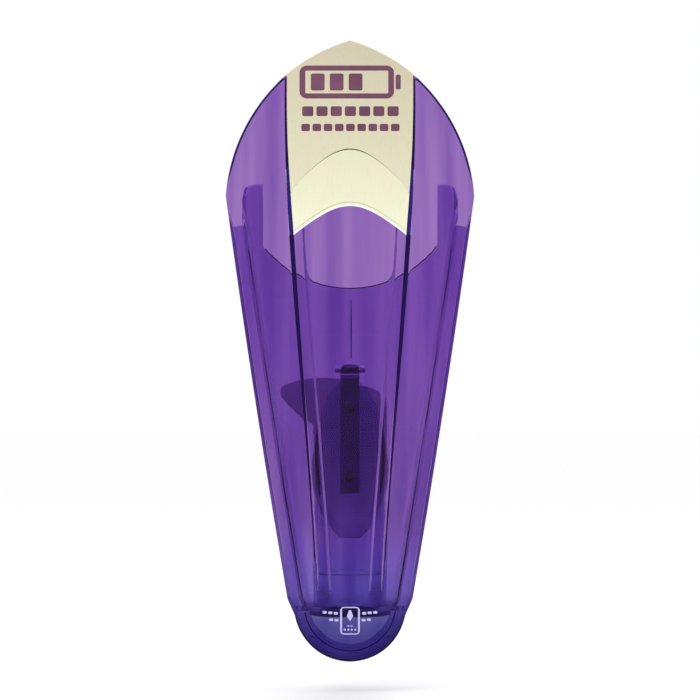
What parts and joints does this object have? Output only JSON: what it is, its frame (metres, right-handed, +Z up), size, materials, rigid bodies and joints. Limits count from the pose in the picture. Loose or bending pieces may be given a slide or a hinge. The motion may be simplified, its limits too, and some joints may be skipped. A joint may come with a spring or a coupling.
{
  "type": "stick vacuum dust container",
  "caption": "Clear tapering dust container of a cordless stick vacuum, with a ridged shield-shaped front, an inlet duct closed by a rubber flap, and a push-button latch",
  "frame": {"origin": "centre of the inlet socket's mouth, at the lower end of the duct", "axes": "+Z up the container's length, front faces -Y, +X to the right seen from the front"},
  "size_m": [0.1162, 0.0714, 0.29],
  "materials": {
    "clear_front": "glossy see-through purple plastic",
    "clear_rear": "glossy see-through purple plastic",
    "clear_duct": "glossy see-through purple plastic",
    "seal_rubber": "matt dark violet rubber",
    "flap_rubber": "smoky dark rubber that lets a little light through",
    "spine_plastic": "moulded dark smoky plastic",
    "rivet_plastic": "moulded black plastic",
    "pin_steel": "ground steel pin",
    "spring_steel": "drawn spring wire",
    "screw_steel": "zinc-plated screw",
    "trim_satin": "satin cream-silver finish with fine lengthwise grain",
    "trim_bright": "bright cream-silver finish, glossier than the plate",
    "latch_plastic": "moulded black plastic",
    "carrier_plastic": "moulded dark grey plastic"
  },
  "bodies": {
    "container": {"front_shell": "clear_front", "rear_tub": "clear_rear", "inlet_tube": "clear_duct", "inlet_seal": "seal_rubber", "flap_pin": "pin_steel", "label_plate": "trim_satin", "latch_carrier": "carrier_plastic", "latch_pin": "pin_steel", "carrier_screw_left": "screw_steel", "carrier_screw_right": "screw_steel"},
    "flap": {"inlet_flap": "flap_rubber", "flap_spine": "spine_plastic", "flap_rivet_high": "rivet_plastic", "flap_rivet_low": "rivet_plastic"},
    "button": {"release_button": "trim_bright", "latch_lever": "latch_plastic", "latch_spring": "spring_steel"}
  },
  "joints": [
    {"name": "flap_hinge", "type": "hinge", "parent": "container", "child": "flap", "pos_m": [0, 0.01516, 0.11615], "axis": [-1, 0, 0], "range_deg": [0, 13]},
    {"name": "button_hinge", "type": "hinge", "parent": "container", "child": "button", "pos_m": [0, -0.0398, 0.216], "axis": [1, 0, 0], "range_deg": [0, 5], "stiffness_Nm_per_rad": 0.4, "springref_deg": -6.02}
  ]
}
